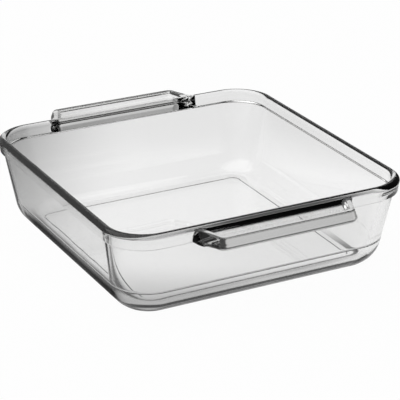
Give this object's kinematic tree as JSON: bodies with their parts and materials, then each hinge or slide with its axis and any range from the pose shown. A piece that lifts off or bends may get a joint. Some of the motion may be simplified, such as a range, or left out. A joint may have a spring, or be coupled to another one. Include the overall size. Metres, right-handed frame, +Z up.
{
  "type": "square cake pan",
  "caption": "Clear glass square cake pan with sloping walls, a round heel, a domed rim over a broad band, and a shallow tray-shaped grip tab at the front and the back.",
  "frame": {"origin": "middle of the base, on the plane that the pan stands on", "axes": "+X along the grip tabs, +Y towards the back tab, +Z up"},
  "size_m": [0.216, 0.2672, 0.064],
  "materials": {
    "glass": "clear, fire-polished"
  },
  "bodies": {
    "root": {"base_panel": "glass", "front_heel": "glass", "back_heel": "glass", "left_heel": "glass", "right_heel": "glass", "front_left_heel": "glass", "front_right_heel": "glass", "back_left_heel": "glass", "back_right_heel": "glass", "front_wall": "glass", "back_wall": "glass", "left_wall": "glass", "right_wall": "glass", "front_left_wall": "glass", "front_right_wall": "glass", "back_left_wall": "glass", "back_right_wall": "glass", "front_rim": "glass", "back_rim": "glass", "left_rim": "glass", "right_rim": "glass", "front_left_rim": "glass", "front_right_rim": "glass", "back_left_rim": "glass", "back_right_rim": "glass", "front_handle": "glass", "back_handle": "glass"}
  },
  "joints": []
}
